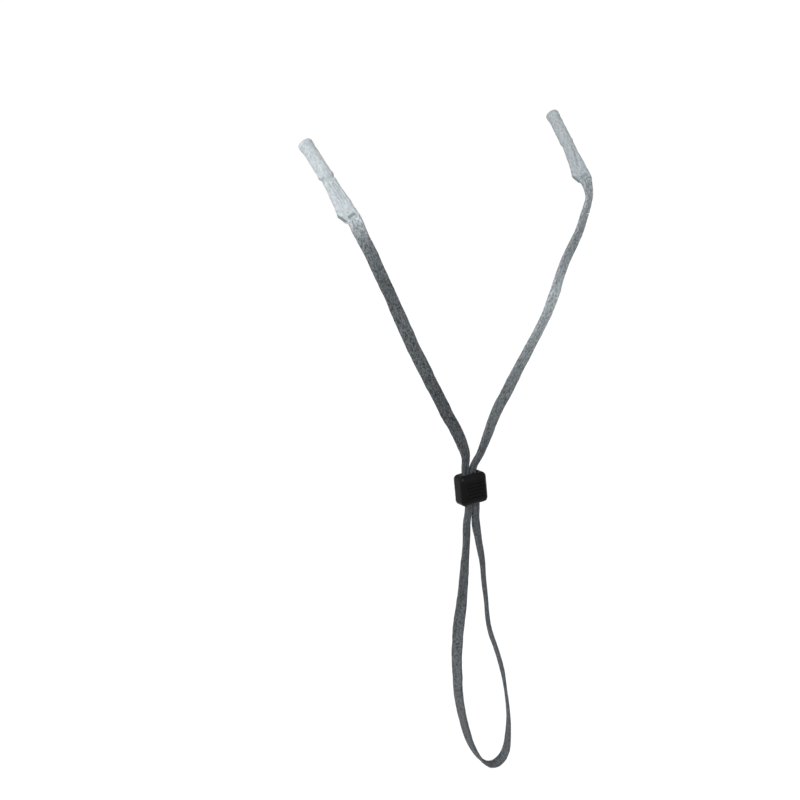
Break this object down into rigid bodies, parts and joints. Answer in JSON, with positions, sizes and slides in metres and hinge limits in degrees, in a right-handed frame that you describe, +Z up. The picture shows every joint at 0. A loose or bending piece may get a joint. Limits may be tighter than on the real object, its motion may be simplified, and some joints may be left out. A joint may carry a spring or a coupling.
{
  "type": "eyeglass retainer strap",
  "caption": "Flat knit eyeglass retainer strap with two stretch sleeves for temple tips and a sliding friction bead that closes the hanging loop.",
  "frame": {"origin": "midway between the two strap roots, where the strap folds down out of the closed ends of the temple sleeves", "axes": "+X from the left sleeve to the right sleeve, +Y towards the sleeves' mouths and the glasses, +Z up; the strap hangs down -Z in the XZ plane"},
  "size_m": [0.1598, 0.0416, 0.401],
  "materials": {
    "strap_knit": "heather grey cotton knit, matt",
    "sleeve_knit": "pale blue-grey stretch knit, matt",
    "dark_thread": "dark blue-grey sewing thread",
    "light_thread": "pale grey sewing thread",
    "bead_rubber": "satin black moulded elastomer"
  },
  "bodies": {
    "sleeves": {"sleeve_left": "sleeve_knit", "sleeve_right": "sleeve_knit", "strap_end_left": "strap_knit", "strap_end_right": "strap_knit", "hem_stitch_left": "light_thread", "hem_stitch_right": "light_thread", "bar_tack_left": "dark_thread", "bar_tack_right": "dark_thread", "end_seam_left": "dark_thread", "end_seam_right": "dark_thread"},
    "strap": {"strap_left_leg": "strap_knit", "strap_right_leg": "strap_knit", "strap_loop": "strap_knit"},
    "slider": {"slider_bead": "bead_rubber"}
  },
  "joints": [
    {"name": "strap_swing", "type": "hinge", "parent": "sleeves", "child": "strap", "pos_m": [0, 0, 0], "axis": [1, 0, 0], "range_deg": [-40, 40], "deforming": ["strap_left_leg", "strap_right_leg"]},
    {"name": "bead_slide", "type": "slide", "parent": "strap", "child": "slider", "axis": [0, 0, 1], "range_m": [-0.13, 0.09], "deforming": ["strap_left_leg", "strap_right_leg", "strap_loop"]}
  ]
}
